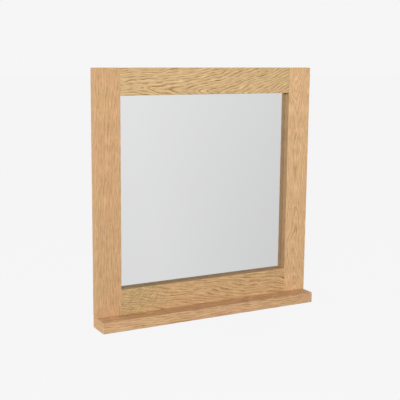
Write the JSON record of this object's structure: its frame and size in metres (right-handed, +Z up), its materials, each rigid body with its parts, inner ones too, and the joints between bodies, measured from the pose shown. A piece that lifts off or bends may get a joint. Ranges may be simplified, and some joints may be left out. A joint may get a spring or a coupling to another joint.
{
  "type": "mirror with shelf",
  "caption": "Square wall mirror in a flat oak frame that stands on a deeper oak shelf and hangs on keyhole plates let into its back.",
  "frame": {"origin": "on the frame's back face, against the wall, midway between the two wall screws that the mirror hangs on", "axes": "+Z up, +Y into the wall, so the mirror faces -Y, and +X to the right as seen from the front"},
  "size_m": [0.58, 0.062, 0.6],
  "materials": {
    "oak": "solid light oak, planed and sanded, satin oiled",
    "silvered_glass": "4 mm float glass, silvered on the back",
    "hardboard": "3 mm hardboard, smooth face out",
    "beech": "fluted beech, unfinished",
    "zinc_plated_steel": "bright zinc plating"
  },
  "bodies": {
    "root": {"left_stile": "oak", "right_stile": "oak", "top_rail": "oak", "bottom_rail": "oak", "shelf": "oak", "mirror_glass": "silvered_glass", "back_board": "hardboard", "top_left_upper_dowel": "beech", "top_left_lower_dowel": "beech", "top_right_upper_dowel": "beech", "top_right_lower_dowel": "beech", "bottom_left_upper_dowel": "beech", "bottom_left_lower_dowel": "beech", "bottom_right_upper_dowel": "beech", "bottom_right_lower_dowel": "beech", "shelf_screw_left": "zinc_plated_steel", "shelf_screw_inner_left": "zinc_plated_steel", "shelf_screw_inner_right": "zinc_plated_steel", "shelf_screw_right": "zinc_plated_steel", "board_screw_top_1": "zinc_plated_steel", "board_screw_top_2": "zinc_plated_steel", "board_screw_top_3": "zinc_plated_steel", "board_screw_bottom_1": "zinc_plated_steel", "board_screw_bottom_2": "zinc_plated_steel", "board_screw_bottom_3": "zinc_plated_steel", "board_screw_left_1": "zinc_plated_steel", "board_screw_left_2": "zinc_plated_steel", "board_screw_left_3": "zinc_plated_steel", "board_screw_right_1": "zinc_plated_steel", "board_screw_right_2": "zinc_plated_steel", "board_screw_right_3": "zinc_plated_steel", "left_hanger_plate": "zinc_plated_steel", "left_hanger_screw_upper": "zinc_plated_steel", "left_hanger_screw_lower": "zinc_plated_steel", "right_hanger_plate": "zinc_plated_steel", "right_hanger_screw_upper": "zinc_plated_steel", "right_hanger_screw_lower": "zinc_plated_steel"}
  },
  "joints": []
}
